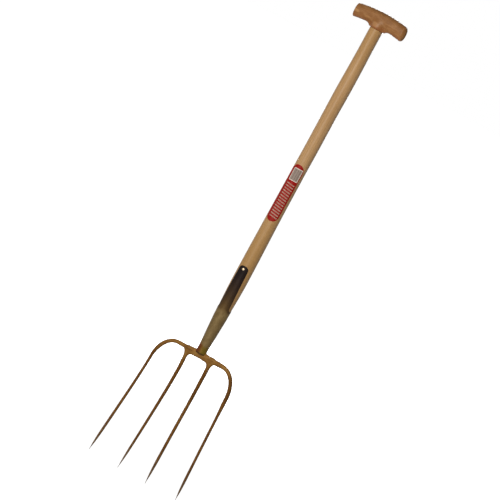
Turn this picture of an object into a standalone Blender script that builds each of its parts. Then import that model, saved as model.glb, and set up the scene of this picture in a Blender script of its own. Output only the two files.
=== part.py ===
# Manure fork with four tines, a strapped socket, an ash shaft and a wooden T-grip.
# It hangs upright: +Z runs up the shaft, the front faces -Y and the head spreads along X.
# Heights are measured from the points of the inner tines. The empty that carries every
# part then puts the origin on the shaft's axis, level with the undersides of the grip's
# arms, where the fork hangs from two pegs or a hook.

import math

import bmesh
import bpy
from mathutils import Matrix, Vector

MM = 0.001
GAP = 0.3 * MM  # space left between two parts that touch

# Heights above the points
HANG_HEIGHT = 1161 * MM
BAR_HEIGHT = 313.9 * MM
SOCKET_FOOT = 317 * MM
SOCKET_FLOOR = 334 * MM
SOCKET_MOUTH = 412 * MM
RIVET_HEIGHT = 534.2 * MM
STRAP_TOP = 541.8 * MM
LABEL_FOOT = 659.2 * MM
LABEL_TOP = 803.2 * MM
STICKER_FOOT = 763 * MM
STICKER_TOP = 794.2 * MM
SEAM_HEIGHT = 1154 * MM

# Crossbar and shoulders
BAR_HALF_HEIGHT = 8.0 * MM
BAR_HALF_DEPTH = 5.6 * MM
BAR_THIN_FROM = 32 * MM
BAR_THIN_TO = 50 * MM
SHOULDER_HALF_WIDTH = 4.5 * MM
SHOULDER_HALF_DEPTH = 4.4 * MM
SHOULDER_START = 58 * MM
SHOULDER_ACROSS = 46 * MM
SHOULDER_DOWN = 60 * MM
BAR_RISE = 1.6 * MM  # the bar thins from below, so its middle line climbs

# Tines
OUTER_TIP_HEIGHT = 6.5 * MM
OUTER_SPLAY = 17.2 * MM
OUTER_SPLAY_POWER = 1.15
INNER_SPREAD = 30.4 * MM
INNER_SPLAY = 7.6 * MM
INNER_SPLAY_POWER = 1.6
INNER_SPLAY_START = 300 * MM
INNER_HALF_WIDTH = 3.65 * MM
OUTER_HALF_WIDTH = 3.25 * MM
TINE_LOW_HALF_WIDTH = 2.95 * MM
TAPER_TOP = 230 * MM
TAPER_FOOT = 80 * MM
TINE_DEPTH_RATIO = 1.1
POINT_LENGTH = 80 * MM
POINT_RADIUS = 0.5 * MM
POINT_POWER = 2.4
ROOT_FILLET = 10 * MM
ROOT_RISE = 2.3 * MM  # how far the fillets run up into the bar
ROOT_DEPTH_FILLET = 1.0 * MM
SET_BACK = 3.2 * MM  # the tines step back behind the bar, then lean forward
SET_BACK_DROP = 45 * MM
LEAN_SLOPE = 0.118
LEAN_START = 228 * MM
LEAN_BLEND = 20 * MM

# Socket and its straps
SOCKET_WALL = 2.0 * MM
SOCKET_FOOT_RADIUS = 12.9 * MM
SOCKET_WAIST_RADIUS = 12.4 * MM
SOCKET_MOUTH_RADIUS = 16.35 * MM
SOCKET_FOOT_LENGTH = 16 * MM
SOCKET_CONE_POWER = 1.15
SOCKET_SETTLE = 40 * MM  # above its mouth the socket settles on the shaft over this height
STRAP_HALF_WIDTH = 12.5 * MM
STRAP_TOP_POWER = 0.7  # the round top is a little squarer than a circle
STRAP_FLARE = 5.5 * MM
STRAP_FLARE_POWER = 3.5
STRAP_PROUD = 0.6 * MM
RELIEF_STEP = 0.05 * MM  # the wood under the straps lies this much proud of the seat cone
RIVET_RADIUS = 2.4 * MM
RIVET_HEAD_RADIUS = 3.2 * MM
RIVET_HEAD_HEIGHT = 1.6 * MM
RIVET_HEAD_RIM = 0.3 * MM

# Shaft
SHAFT_RADIUS = 16.5 * MM
SHAFT_SWELL = 1.9 * MM
SWELL_HEIGHT = 505 * MM
SWELL_ABOVE = 150 * MM
SWELL_BELOW = 56 * MM
PALM_SWELL = 0.6 * MM
PALM_HEIGHT = 1000 * MM
PALM_LENGTH = 45 * MM
TOP_TAPER = 0.65 * MM  # the shaft is this much thinner in radius below the grip
TOP_TAPER_FROM = 1045 * MM
TOP_TAPER_TO = 1105 * MM
TENON_RADIUS = 11 * MM
TENON_LENGTH = 24 * MM
TENON_CHAMFER = 1.0 * MM
SHAFT_FOOT = SOCKET_FLOOR + 4 * MM

# Grip
GRIP_HALF_LENGTH = 68.5 * MM
GRIP_CENTRE_HEIGHT = 1179.2 * MM
GRIP_DROOP = 6.2 * MM
GRIP_HALF_HEIGHT = 17.5 * MM
GRIP_END_HALF_HEIGHT = 16.9 * MM
GRIP_HALF_DEPTH = 14.5 * MM
GRIP_END_HALF_DEPTH = 13.0 * MM
NECK_RADIUS = 15.9 * MM
CAGE_SWELL = 1.1  # the cage stands this much outside the surface that it is rounded to
CAGE_SQUARENESS = 0.8  # how far a section's corners lie out, against 1 for its middles
NECK_FLARE = 1.04
CROWN_HOLLOW = 0.92
KNUCKLE_HOLLOW = 0.88
PIN_RADIUS = 2.0 * MM
PIN_LENGTH = 24 * MM
PIN_HEIGHT = 1162 * MM
PIN_SUNK = 0.4 * MM

# Label and price sticker
LABEL_HALF_ARC = 16.4 * MM
LABEL_THICKNESS = 0.4 * MM
STICKER_HALF_ARC = 11.1 * MM
STICKER_OFFSET = 2.3 * MM
STICKER_CORNER = 1.5 * MM
SHEET_MARGIN = 4 * MM  # a sheet is turned this much longer than the outline cut from it

# Facets
TURNED_SIDES = 32
SMALL_SIDES = 16
LOFT_SIDES = 14
ROUND_POWER = 0.88  # a lofted section is a little fuller than an ellipse


def clear_scene():
    for obj in list(bpy.data.objects):
        bpy.data.objects.remove(obj, do_unlink=True)


def new_collection(name):
    collection = bpy.data.collections.new(name)
    bpy.context.scene.collection.children.link(collection)
    return collection


def finish(name, hex_colour, roughness, metallic):
    """A Principled material in the part's own colour, given as sRGB."""
    material = bpy.data.materials.new(name)
    material.use_nodes = True
    shader = material.node_tree.nodes["Principled BSDF"]
    channels = [int(hex_colour[i : i + 2], 16) / 255 for i in (0, 2, 4)]
    linear = [c / 12.92 if c <= 0.04045 else ((c + 0.055) / 1.055) ** 2.4 for c in channels]
    shader.inputs["Base Color"].default_value = (*linear, 1)
    shader.inputs["Roughness"].default_value = roughness
    shader.inputs["Metallic"].default_value = metallic
    material.diffuse_color = (*linear, 1)
    return material


def add_object(name, mesh, collection, carrier, material=None):
    obj = bpy.data.objects.new(name, mesh)
    obj.parent = carrier
    collection.objects.link(obj)
    if material:
        mesh.materials.append(material)
        mesh.shade_smooth()
        mesh.set_sharp_from_angle(angle=math.radians(40))
    else:
        obj.hide_render = True
        obj.display_type = "WIRE"
    return obj


def cut(obj, cutter, operation="DIFFERENCE"):
    boolean = obj.modifiers.new(cutter.name, "BOOLEAN")
    boolean.object = cutter
    boolean.operation = operation
    boolean.solver = "EXACT"


def smoothstep(value):
    value = min(max(value, 0.0), 1.0)
    return value * value * (3 - 2 * value)


# Shapes that every part is made with


def turned_mesh(name, profile, closed=False):
    """The outline, from top to bottom on its outer side, as the wire that a Screw turns."""
    mesh = bpy.data.meshes.new(name)
    edges = [(i, i + 1) for i in range(len(profile) - 1)]
    if closed:
        edges.append((len(profile) - 1, 0))
    mesh.from_pydata([(radius, 0, height) for radius, height in profile], edges, [])
    return mesh


def turn(obj, sides=TURNED_SIDES):
    screw = obj.modifiers.new("turn", "SCREW")
    screw.steps = sides
    screw.render_steps = sides
    screw.use_merge_vertices = True
    screw.merge_threshold = 0.00001
    screw.use_smooth_shade = True


def loft_mesh(name, stations):
    """A skin through rounded sections of unlike size. A station holds its centre, the
    direction across it, the direction of its depth, and its two half sizes."""
    bm = bmesh.new()
    rings = []
    for centre, across, depthways, half_width, half_depth in stations:
        ring = []
        for k in range(LOFT_SIDES):
            angle = 2 * math.pi * k / LOFT_SIDES
            u = half_width * math.copysign(abs(math.cos(angle)) ** ROUND_POWER, math.cos(angle))
            v = half_depth * math.copysign(abs(math.sin(angle)) ** ROUND_POWER, math.sin(angle))
            ring.append(bm.verts.new(centre + across * u + depthways * v))
        rings.append(ring)
    for lower, upper in zip(rings, rings[1:]):
        for k in range(LOFT_SIDES):
            n = (k + 1) % LOFT_SIDES
            bm.faces.new((lower[k], lower[n], upper[n], upper[k]))
    bm.faces.new(list(reversed(rings[0])))
    bm.faces.new(rings[-1])
    bmesh.ops.recalc_face_normals(bm, faces=bm.faces)
    mesh = bpy.data.meshes.new(name)
    bm.to_mesh(mesh)
    bm.free()
    return mesh


def frames_along(points, widths, depths):
    """Stations for a loft along points that run in a plane of X and Z and lean in Y."""
    stations = []
    for i, point in enumerate(points):
        along = (points[min(i + 1, len(points) - 1)] - points[max(i - 1, 0)]).normalized()
        depthways = (Vector((0, 1, 0)) - along * along.y).normalized()
        across = along.cross(depthways).normalized()
        stations.append((point, across, depthways, widths[i], depths[i]))
    return stations


def plate_mesh(name, outline, half_thickness):
    """A flat outline in X and Z, extruded both ways along Y, as a mesh."""
    curve = bpy.data.curves.new(name + "_outline", "CURVE")
    curve.dimensions = "2D"
    curve.fill_mode = "BOTH"
    curve.extrude = half_thickness
    spline = curve.splines.new("POLY")
    spline.points.add(len(outline) - 1)
    for point, (x, z) in zip(spline.points, outline):
        point.co = (x, z, 0, 1)
    spline.use_cyclic_u = True
    drawn = bpy.data.objects.new(name + "_outline", curve)
    bpy.context.scene.collection.objects.link(drawn)
    graph = bpy.context.evaluated_depsgraph_get()
    mesh = bpy.data.meshes.new_from_object(drawn.evaluated_get(graph))
    bpy.data.objects.remove(drawn, do_unlink=True)
    mesh.transform(Matrix.Rotation(math.radians(90), 4, "X"))
    bm = bmesh.new()
    bm.from_mesh(mesh)
    bmesh.ops.remove_doubles(bm, verts=bm.verts, dist=0.000001)
    bmesh.ops.recalc_face_normals(bm, faces=bm.faces)
    bm.to_mesh(mesh)
    bm.free()
    mesh.name = name
    return mesh


def cylinder_mesh(name, radius, length, sides=SMALL_SIDES):
    """A cylinder along Z, centred on its middle, with a flat side towards X and Y."""
    bm = bmesh.new()
    bmesh.ops.create_cone(
        bm, cap_ends=True, segments=sides, radius1=radius, radius2=radius, depth=length
    )
    bmesh.ops.rotate(bm, verts=bm.verts, matrix=Matrix.Rotation(math.pi / sides, 3, "Z"))
    mesh = bpy.data.meshes.new(name)
    bm.to_mesh(mesh)
    bm.free()
    return mesh


# Fork head


def tine_lean(height):
    """Where a tine lies in Y: back behind the bar, then forward towards the point."""
    back = SET_BACK * smoothstep((BAR_HEIGHT - height) / SET_BACK_DROP)
    fall = (LEAN_START - height) / LEAN_BLEND
    return back - LEAN_SLOPE * LEAN_BLEND * math.log1p(math.exp(fall))


def tine_half_width(height, tip_height, full):
    """Half the width seen from the front: full above, a slow taper, then the drawn point."""
    above = height - tip_height
    share = min(max((height - TAPER_FOOT) / (TAPER_TOP - TAPER_FOOT), 0), 1)
    width = TINE_LOW_HALF_WIDTH + (full - TINE_LOW_HALF_WIDTH) * share
    if above < POINT_LENGTH:
        width *= 1 - (1 - above / POINT_LENGTH) ** POINT_POWER
    return max(width, POINT_RADIUS)


def bar_thinning(x):
    return smoothstep((abs(x) - BAR_THIN_FROM) / (BAR_THIN_TO - BAR_THIN_FROM))


def bar_half_height(x):
    return BAR_HALF_HEIGHT + (SHOULDER_HALF_WIDTH - BAR_HALF_HEIGHT) * bar_thinning(x)


def bar_half_depth(x):
    return BAR_HALF_DEPTH + (SHOULDER_HALF_DEPTH - BAR_HALF_DEPTH) * bar_thinning(x)


def bar_centre(x):
    return BAR_HEIGHT + BAR_RISE * bar_thinning(x)


def outer_half():
    """The bar from its middle to the right shoulder and down the outer tine."""
    points, widths, depths = [], [], []
    for x in (0, 16, 31, 36, 41, 46, 52):
        x *= MM
        points.append(Vector((x, 0, bar_centre(x))))
        widths.append(bar_half_height(x))
        depths.append(bar_half_depth(x))
    foot = bar_centre(SHOULDER_START) - SHOULDER_DOWN
    turns = 11
    for i in range(turns + 1):
        share = i / turns
        turn_angle = share * math.pi / 2
        x = SHOULDER_START + SHOULDER_ACROSS * math.sin(turn_angle)
        z = foot + SHOULDER_DOWN * math.cos(turn_angle)
        points.append(Vector((x, tine_lean(z), z)))
        widths.append(SHOULDER_HALF_WIDTH + (OUTER_HALF_WIDTH - SHOULDER_HALF_WIDTH) * share)
        tine_depth = OUTER_HALF_WIDTH * TINE_DEPTH_RATIO
        depths.append(SHOULDER_HALF_DEPTH + (tine_depth - SHOULDER_HALF_DEPTH) * share)
    drop = foot - OUTER_TIP_HEIGHT
    steps = 15
    for i in range(1, steps + 1):
        share = 1 - (1 - i / steps) ** 1.25
        z = foot - drop * share
        x = SHOULDER_START + SHOULDER_ACROSS + OUTER_SPLAY * share**OUTER_SPLAY_POWER
        points.append(Vector((x, tine_lean(z), z)))
        widths.append(tine_half_width(z, OUTER_TIP_HEIGHT, OUTER_HALF_WIDTH))
        depths.append(widths[-1] * TINE_DEPTH_RATIO)
    return points, widths, depths


def inner_tine(side):
    """An inner tine, with a root that spreads into the bar in round fillets."""
    points, widths, depths = [], [], []
    underside = BAR_HEIGHT - BAR_HALF_HEIGHT + ROOT_RISE
    root_steps = 6
    heights = [BAR_HEIGHT]
    heights += [underside - ROOT_FILLET * (i / root_steps) ** 1.6 for i in range(root_steps + 1)]
    steps = 15
    last = heights[-1]
    heights += [last - last * (1 - (1 - i / steps) ** 1.2) for i in range(1, steps + 1)]
    for z in heights:
        x = INNER_SPREAD + INNER_SPLAY * max(1 - z / INNER_SPLAY_START, 0) ** INNER_SPLAY_POWER
        width = tine_half_width(z, 0, INNER_HALF_WIDTH)
        depth = width * TINE_DEPTH_RATIO
        below = underside - z
        if below < ROOT_FILLET:
            rise = ROOT_FILLET - max(below, 0)
            width += ROOT_FILLET - math.sqrt(ROOT_FILLET**2 - rise**2)
            depth += ROOT_DEPTH_FILLET * (rise / ROOT_FILLET) ** 2
        points.append(Vector((side * x, tine_lean(z), z)))
        widths.append(width)
        depths.append(depth)
    return points, widths, depths


def make_fork_head(parts, cutters, carrier, steel):
    points, widths, depths = outer_half()
    mirrored = [Vector((-p.x, p.y, p.z)) for p in reversed(points[1:])]
    stations = frames_along(mirrored + points, widths[:0:-1] + widths, depths[:0:-1] + depths)
    head = add_object("fork_head", loft_mesh("fork_head", stations), parts, carrier, steel)
    for name, side in (("left_root", -1), ("right_root", 1)):
        tine = loft_mesh(name, frames_along(*inner_tine(side)))
        cut(head, add_object(name, tine, cutters, carrier), "UNION")


# Shaft, socket and rivet


def shaft_radius(height):
    spread = SWELL_ABOVE if height > SWELL_HEIGHT else SWELL_BELOW
    swell = SHAFT_SWELL * math.exp(-(((height - SWELL_HEIGHT) / spread) ** 2))
    palm = PALM_SWELL * math.exp(-(((height - PALM_HEIGHT) / PALM_LENGTH) ** 2))
    taper = TOP_TAPER * smoothstep((height - TOP_TAPER_FROM) / (TOP_TAPER_TO - TOP_TAPER_FROM))
    return SHAFT_RADIUS + swell + palm - taper


def socket_radius(height):
    """The outside of the socket: a foot, a waist, a cone and then the straps on the shaft."""
    if height < SOCKET_MOUTH:
        waist = SOCKET_FOOT + SOCKET_FOOT_LENGTH
        share = max(height - waist, 0) / (SOCKET_MOUTH - waist)
        widening = (SOCKET_MOUTH_RADIUS - SOCKET_WAIST_RADIUS) * share**SOCKET_CONE_POWER
        low = smoothstep((waist - height) / SOCKET_FOOT_LENGTH)
        return SOCKET_WAIST_RADIUS + widening + (SOCKET_FOOT_RADIUS - SOCKET_WAIST_RADIUS) * low
    settle = smoothstep((height - SOCKET_MOUTH) / SOCKET_SETTLE)
    on_shaft = shaft_radius(height) + STRAP_PROUD
    return SOCKET_MOUTH_RADIUS + (on_shaft - SOCKET_MOUTH_RADIUS) * settle


def heights_between(low, high, step):
    count = max(2, round((high - low) / step))
    return [high + (low - high) * i / count for i in range(count + 1)]


def socket_heights(low):
    """Rings for the straps and for the cone, with one just where they meet."""
    straps = heights_between(SOCKET_MOUTH, STRAP_TOP + 6 * MM, 12 * MM)
    return straps + heights_between(low, SOCKET_MOUTH, 13 * MM)[1:]


def strap_outline(margin):
    """The socket seen from the front: a strap with a round top, and the full width below."""
    radius = STRAP_HALF_WIDTH + margin
    clear_of_socket = 26 * MM
    round_centre = STRAP_TOP - STRAP_HALF_WIDTH
    right = []
    for i in range(9):
        angle = math.radians(90 - 90 * i / 8)
        x = radius * abs(math.cos(angle)) ** STRAP_TOP_POWER
        right.append((x, round_centre + radius * math.sin(angle) ** STRAP_TOP_POWER))
    length = round_centre - (SOCKET_MOUTH + 4 * MM)
    for i in range(1, 13):
        share = i / 12
        flare = STRAP_FLARE * share**STRAP_FLARE_POWER
        right.append((radius + flare, round_centre - length * share))
    right.append((clear_of_socket, SOCKET_MOUTH + 2 * MM))
    right.append((clear_of_socket, SOCKET_FOOT - 8 * MM))
    return right + [(-x, z) for x, z in reversed(right) if x > 1e-6]


def make_socket(parts, cutters, carrier, steel):
    outer = [(socket_radius(z), z) for z in socket_heights(SOCKET_FOOT + 1.5 * MM)]
    foot = [(SOCKET_FOOT_RADIUS - 1.5 * MM, SOCKET_FOOT), (0, SOCKET_FOOT)]
    floor = [(0, SOCKET_FLOOR), (6 * MM, SOCKET_FLOOR)]
    inner_heights = reversed(socket_heights(SOCKET_FLOOR + 3 * MM))
    inner = [(socket_radius(z) - SOCKET_WALL, z) for z in inner_heights]
    profile = outer + foot + floor + inner
    socket = add_object("socket", turned_mesh("socket", profile, closed=True), parts, carrier, steel)
    turn(socket)
    outline = plate_mesh("strap_outline", strap_outline(0), 30 * MM)
    cut(socket, add_object("strap_outline", outline, cutters, carrier), "INTERSECT")
    saddle = []
    for x in (-20 * MM, 20 * MM):
        centre = Vector((x, 0, BAR_HEIGHT))
        directions = (Vector((0, 0, 1)), Vector((0, 1, 0)))
        saddle.append((centre, *directions, BAR_HALF_HEIGHT + GAP, BAR_HALF_DEPTH + GAP))
    cut(socket, add_object("saddle", loft_mesh("saddle", saddle), cutters, carrier))
    return socket


def make_shaft(parts, cutters, carrier, ash):
    """The shaft, with a cone below that seats in the socket and a tenon above."""
    top = SEAM_HEIGHT - GAP / 2
    tenon_top = SEAM_HEIGHT + TENON_LENGTH
    profile = [(0, tenon_top), (TENON_RADIUS - TENON_CHAMFER, tenon_top)]
    profile += [(TENON_RADIUS, tenon_top - TENON_CHAMFER), (TENON_RADIUS, top)]
    profile += [(shaft_radius(z), z) for z in heights_between(SOCKET_MOUTH, top, 30 * MM)]
    seat = heights_between(SHAFT_FOOT, SOCKET_MOUTH, 13 * MM)
    profile += [(socket_radius(z) - SOCKET_WALL - GAP, z) for z in seat]
    profile += [(0, SHAFT_FOOT)]
    shaft = add_object("shaft", turned_mesh("shaft", profile), parts, carrier, ash)
    turn(shaft)
    relief_heights = socket_heights(SOCKET_MOUTH - 6 * MM)
    relief_profile = [(30 * MM, z) for z in (relief_heights[0], relief_heights[-1])]
    relief_depth = SOCKET_WALL + GAP - RELIEF_STEP
    relief_profile += [(socket_radius(z) - relief_depth, z) for z in reversed(relief_heights)]
    relief = turned_mesh("strap_relief", relief_profile, closed=True)
    relief = add_object("strap_relief", relief, cutters, carrier)
    turn(relief)
    outline = plate_mesh("relief_outline", strap_outline(GAP), 40 * MM)
    cut(relief, add_object("relief_outline", outline, cutters, carrier), "INTERSECT")
    cut(shaft, relief)
    return shaft


def make_rivet(parts, cutters, carrier, steel, drilled):
    """A rivet with two round heads, right through the straps and the shaft."""
    reach = socket_radius(RIVET_HEIGHT) + GAP
    profile = []
    dome = RIVET_HEAD_HEIGHT - RIVET_HEAD_RIM
    for i in range(4):
        angle = math.radians(90 - 90 * i / 3)
        height = reach + RIVET_HEAD_RIM + dome * math.sin(angle)
        profile.append((RIVET_HEAD_RADIUS * math.cos(angle), height))
    profile += [(RIVET_HEAD_RADIUS, reach), (RIVET_RADIUS, reach)]
    profile[0] = (0, profile[0][1])
    profile += [(radius, -z) for radius, z in reversed(profile)]
    rivet = add_object("rivet", turned_mesh("rivet", profile), parts, carrier, steel)
    turn(rivet, SMALL_SIDES)
    rivet.location.z = RIVET_HEIGHT
    rivet.rotation_euler.x = math.radians(90)
    drill = cylinder_mesh("rivet_drill", RIVET_RADIUS + GAP, 90 * MM)
    drill = add_object("rivet_drill", drill, cutters, carrier)
    drill.location.z = RIVET_HEIGHT
    drill.rotation_euler.x = math.radians(90)
    for obj in drilled:
        cut(obj, drill)


# Grip


def grip_cage():
    """The right half of the T as a coarse cage, which a mirror and a subdivision finish.
    A block two cells wide gets its right side drawn out as the arm and its underside
    drawn down as the neck. Its corners are then set out on rounded sections."""
    stations = [0, 18.5 * MM, 32 * MM, 46 * MM, 62 * MM, GRIP_HALF_LENGTH]
    bm = bmesh.new()
    bmesh.ops.create_cube(bm, size=2)
    bmesh.ops.subdivide_edges(bm, edges=bm.edges[:], cuts=1, use_grid_fill=True)
    bmesh.ops.delete(bm, geom=[v for v in bm.verts if v.co.x < -0.5], context="VERTS")
    right = [f for f in bm.faces if f.calc_center_median().x > 0.9]
    under = [f for f in bm.faces if f.calc_center_median().z < -0.9]
    draws = ((right, Vector((1, 0, 0)), len(stations) - 2), (under, Vector((0, 0, -1)), 2))
    for side, direction, count in draws:
        for _ in range(count):
            grown = bmesh.ops.extrude_face_region(bm, geom=side)["geom"]
            bmesh.ops.delete(bm, geom=side, context="FACES")
            side = [item for item in grown if isinstance(item, bmesh.types.BMFace)]
            moved = [item for item in grown if isinstance(item, bmesh.types.BMVert)]
            bmesh.ops.translate(bm, verts=moved, vec=direction)
    on_mirror = [f for f in bm.faces if f.calc_center_median().x < 0.01]
    bmesh.ops.delete(bm, geom=on_mirror, context="FACES")
    for vert in bm.verts:
        vert.co = cage_corner(vert.co.copy(), stations)
    bmesh.ops.recalc_face_normals(bm, faces=bm.faces)
    mesh = bpy.data.meshes.new("grip")
    bm.to_mesh(mesh)
    bm.free()
    return mesh


def cage_corner(cell, stations):
    """The place of a cage corner from its cell: a rounded section about the arm's middle
    line, or a round one about the neck's."""
    neck = NECK_RADIUS * CAGE_SWELL
    if cell.z < -1.5:
        ring = neck
        if abs(cell.x) > 0.5 and abs(cell.y) > 0.5:
            ring *= math.sqrt(0.5)
        depth = (4 if cell.z > -2.5 else 16) * MM
        return Vector((ring * cell.x, ring * cell.y, SEAM_HEIGHT - depth))
    x = stations[round(cell.x)]
    along = x / GRIP_HALF_LENGTH
    half_height = GRIP_HALF_HEIGHT + (GRIP_END_HALF_HEIGHT - GRIP_HALF_HEIGHT) * along
    half_depth = GRIP_HALF_DEPTH + (GRIP_END_HALF_DEPTH - GRIP_HALF_DEPTH) * along
    on_corner = abs(cell.y) > 0.5 and abs(cell.z) > 0.5
    reach = CAGE_SWELL * (CAGE_SQUARENESS if on_corner else 1)
    y = half_depth * reach * cell.y
    z = half_height * reach * cell.z
    if round(cell.x) == 0 and cell.z < 0.5:
        y = neck * cell.y * (NECK_FLARE if cell.z < -0.5 else CROWN_HOLLOW)
    if round(cell.x) == 1 and on_corner and cell.z < 0:
        y *= KNUCKLE_HOLLOW
    centre = GRIP_CENTRE_HEIGHT - GRIP_DROOP * along**2
    return Vector((x, y, centre + z))


def make_grip(parts, cutters, carrier, stained_wood):
    grip = add_object("grip", grip_cage(), parts, carrier, stained_wood)
    mirror = grip.modifiers.new("mirror", "MIRROR")
    mirror.use_clip = True
    mirror.merge_threshold = 0.00001
    round_off = grip.modifiers.new("round_off", "SUBSURF")
    round_off.levels = 2
    round_off.render_levels = 2
    trim_depth = 60 * MM
    below = cylinder_mesh("neck_trim", 40 * MM, trim_depth)
    below = add_object("neck_trim", below, cutters, carrier)
    below.location.z = SEAM_HEIGHT + GAP / 2 - trim_depth / 2
    cut(grip, below)
    depth = TENON_LENGTH + 20 * MM
    bore = cylinder_mesh("tenon_bore", TENON_RADIUS + GAP, depth, TURNED_SIDES)
    bore = add_object("tenon_bore", bore, cutters, carrier)
    bore.location.z = SEAM_HEIGHT + TENON_LENGTH + GAP - depth / 2
    cut(grip, bore)
    return grip


def make_grip_pin(parts, cutters, carrier, steel, drilled):
    """The pin that holds the grip on the tenon, put in from the back."""
    middle = Vector((0, NECK_RADIUS - PIN_SUNK - PIN_LENGTH / 2, PIN_HEIGHT))
    pin = cylinder_mesh("grip_pin", PIN_RADIUS, PIN_LENGTH)
    pin = add_object("grip_pin", pin, parts, carrier, steel)
    way_out = 20 * MM
    hole = cylinder_mesh("pin_hole", PIN_RADIUS + GAP, PIN_LENGTH + 2 * GAP + way_out)
    hole = add_object("pin_hole", hole, cutters, carrier)
    pin.location = middle
    hole.location = middle + Vector((0, way_out / 2, 0))
    for obj in (pin, hole):
        obj.rotation_euler.x = math.radians(90)
    for obj in drilled:
        cut(obj, hole)


# Label and price sticker


def wrapped(arc, height):
    """How far to the side a point lies that is this far round the shaft from the front."""
    radius = shaft_radius(height)
    return radius * math.sin(arc / radius)


def label_outline():
    """A long label with round ends, as it looks from the front once wrapped round."""
    right = []
    low_centre = LABEL_FOOT + LABEL_HALF_ARC
    high_centre = LABEL_TOP - LABEL_HALF_ARC
    for centre, first in ((high_centre, 90), (low_centre, 0)):
        for i in range(9):
            angle = math.radians(first - 90 * i / 8)
            z = centre + LABEL_HALF_ARC * math.sin(angle)
            right.append((wrapped(LABEL_HALF_ARC * math.cos(angle), z), z))
    return right + [(-x, z) for x, z in reversed(right) if x > 1e-6]


def sticker_outline():
    """A plain sticker with small round corners, a little to the right of the middle."""
    points = []
    right = STICKER_HALF_ARC - STICKER_CORNER
    top = STICKER_TOP - STICKER_CORNER
    foot = STICKER_FOOT + STICKER_CORNER
    for arc, z, first in ((right, top, 90), (right, foot, 0), (-right, foot, -90), (-right, top, 180)):
        for i in range(4):
            angle = math.radians(first - 30 * i)
            height = z + STICKER_CORNER * math.sin(angle)
            round_arc = arc + STICKER_CORNER * math.cos(angle) + STICKER_OFFSET
            points.append((wrapped(round_arc, height), height))
    return points


def make_sticker(name, parts, cutters, carrier, material, outline, lift):
    """A thin sheet wrapped round the front of the shaft, standing off it by the lift."""
    low = min(z for _, z in outline) - SHEET_MARGIN
    high = max(z for _, z in outline) + SHEET_MARGIN
    heights = heights_between(low, high, 20 * MM)
    outer = [(shaft_radius(z) + lift + LABEL_THICKNESS, z) for z in heights]
    inner = [(shaft_radius(z) + lift, z) for z in reversed(heights)]
    sheet = add_object(name, turned_mesh(name, outer + inner, closed=True), parts, carrier, material)
    turn(sheet)
    half_depth = 15 * MM
    plate = plate_mesh(name + "_outline", outline, half_depth)
    plate = add_object(name + "_outline", plate, cutters, carrier)
    plate.location.y = -half_depth - 0.5 * MM
    cut(sheet, plate, "INTERSECT")


def main():
    clear_scene()
    parts = new_collection("manure_fork")
    cutters = new_collection("cutters")
    carrier = bpy.data.objects.new("hanging_point", None)
    parts.objects.link(carrier)
    carrier.location.z = -HANG_HEIGHT

    gold_steel = finish("lacquered_steel", "7f5b29", 0.35, 0.6)
    olive_steel = finish("oiled_steel", "6c5840", 0.4, 0.5)
    bright_steel = finish("bright_steel", "baa280", 0.3, 1.0)
    ash = finish("ash_wood", "ab8958", 0.5, 0.0)
    grip_wood = finish("stained_wood", "8f6239", 0.3, 0.0)
    red_film = finish("red_film", "9a1f1c", 0.35, 0.0)
    pale_paper = finish("pale_paper", "c9bda8", 0.6, 0.0)

    make_fork_head(parts, cutters, carrier, gold_steel)
    socket = make_socket(parts, cutters, carrier, olive_steel)
    shaft = make_shaft(parts, cutters, carrier, ash)
    make_rivet(parts, cutters, carrier, bright_steel, (socket, shaft))
    grip = make_grip(parts, cutters, carrier, grip_wood)
    make_grip_pin(parts, cutters, carrier, bright_steel, (grip, shaft))
    make_sticker("label", parts, cutters, carrier, red_film, label_outline(), GAP)
    lift = GAP + LABEL_THICKNESS + GAP
    make_sticker("price_sticker", parts, cutters, carrier, pale_paper, sticker_outline(), lift)


main()
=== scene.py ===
# Manure fork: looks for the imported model, built round its fixed frame.
# Shapes are worked out in millimetres, with heights above the points of the inner tines,
# and then placed in the part's own frame, whose origin is where the fork hangs.
import functools
import math

import bmesh
import bpy
import numpy as np
from mathutils import Matrix, Vector


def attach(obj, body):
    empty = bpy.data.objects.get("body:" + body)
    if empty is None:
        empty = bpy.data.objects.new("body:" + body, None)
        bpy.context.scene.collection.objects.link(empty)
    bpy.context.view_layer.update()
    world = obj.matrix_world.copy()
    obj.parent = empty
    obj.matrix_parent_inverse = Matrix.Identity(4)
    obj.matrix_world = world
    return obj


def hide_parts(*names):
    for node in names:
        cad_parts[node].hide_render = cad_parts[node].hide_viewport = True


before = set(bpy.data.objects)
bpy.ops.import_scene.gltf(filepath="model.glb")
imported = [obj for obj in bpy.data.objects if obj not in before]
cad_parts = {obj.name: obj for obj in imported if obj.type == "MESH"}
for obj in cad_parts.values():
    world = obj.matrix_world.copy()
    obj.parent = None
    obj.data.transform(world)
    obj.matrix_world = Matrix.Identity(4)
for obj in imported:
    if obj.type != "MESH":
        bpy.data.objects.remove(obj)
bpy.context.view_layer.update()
print("frame loaded:", len(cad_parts), "nodes")

mm = 0.001
hangHeight = 1161.0  # height of the frame's origin above the points
sharpAngle = 55.0  # degrees between faces, from which an edge shows


# Arrays and meshes

def ramp(value, start, end):
    # 0 at the start, 1 at the end and eased between them: 3t^2 - 2t^3
    t = np.clip((value - start) / (end - start), 0.0, 1.0)
    return t * t * (3 - 2 * t)


def mix(a, b, share):
    return a + (b - a) * share


def bump(value, middle, spread):
    # 1 at the middle, falling away on both sides: e^-(d^2)
    return np.exp(-(((value - middle) / spread) ** 2))


def signedPower(value, power):
    return np.sign(value) * np.abs(value) ** power


def unit(vectors):
    return vectors / np.linalg.norm(vectors, axis=-1, keepdims=True)


def joined(*parts):
    return np.stack(parts, axis=-1)


def fullTurn(count):
    return np.linspace(0, 2 * math.pi, count, endpoint=False)


def quarterTurn(count):
    return np.linspace(0, math.pi / 2, count)


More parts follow.
